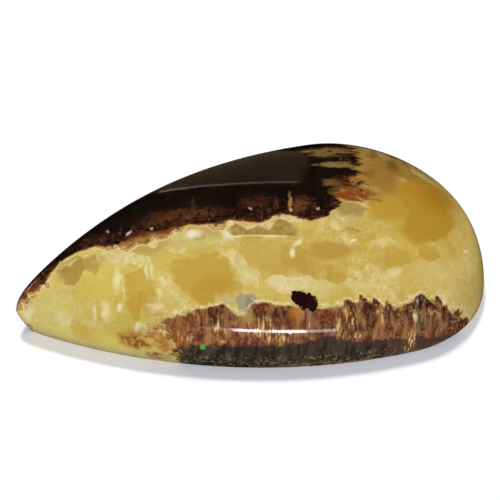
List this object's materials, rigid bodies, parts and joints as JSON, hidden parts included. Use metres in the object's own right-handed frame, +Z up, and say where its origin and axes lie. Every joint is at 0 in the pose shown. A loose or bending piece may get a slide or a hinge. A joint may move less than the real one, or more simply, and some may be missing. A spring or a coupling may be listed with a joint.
{
  "type": "polished calcite cabochon",
  "caption": "Pear-shaped polished cabochon of banded yellow and brown calcite, with a low domed crown, a steep rounded wall and a flat ground base.",
  "frame": {"origin": "middle of the stone's box, on the plane of its flat base", "axes": "+X along the length from the point to the round end, +Z up through the crown"},
  "size_m": [0.04, 0.0252, 0.0086],
  "materials": {
    "banded_calcite": "polished"
  },
  "bodies": {
    "root": {"stone": "banded_calcite"}
  },
  "joints": []
}
